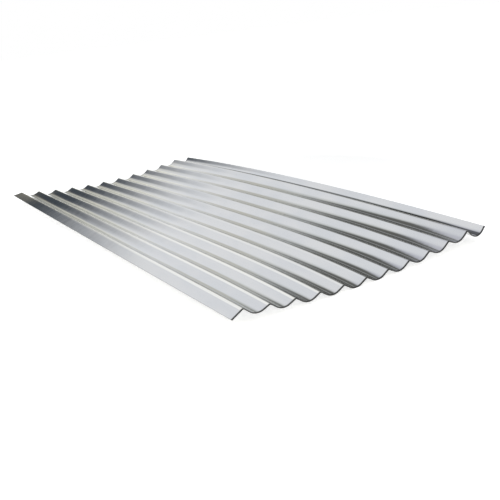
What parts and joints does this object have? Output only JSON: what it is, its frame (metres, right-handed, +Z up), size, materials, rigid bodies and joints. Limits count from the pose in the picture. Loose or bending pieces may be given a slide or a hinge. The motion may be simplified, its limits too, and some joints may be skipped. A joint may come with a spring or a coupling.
{
  "type": "corrugated metal sheet",
  "caption": "Thin zinc coated steel sheet with even round corrugations along its length and a turned-down side lip, for roofs, walls and fences.",
  "frame": {"origin": "on the level floor that the sheet rests on, under the centre of its bounding box", "axes": "+X along the corrugations, +Y across them from the turned-down lip to the other long edge, +Z up through the sheet's thickness"},
  "size_m": [1.8288, 0.8656, 0.0659],
  "materials": {
    "zinc_coated_steel": "galvanised, bright and smooth, with faint rolling marks"
  },
  "bodies": {
    "root": {"corrugated_sheet": "zinc_coated_steel"}
  },
  "joints": []
}
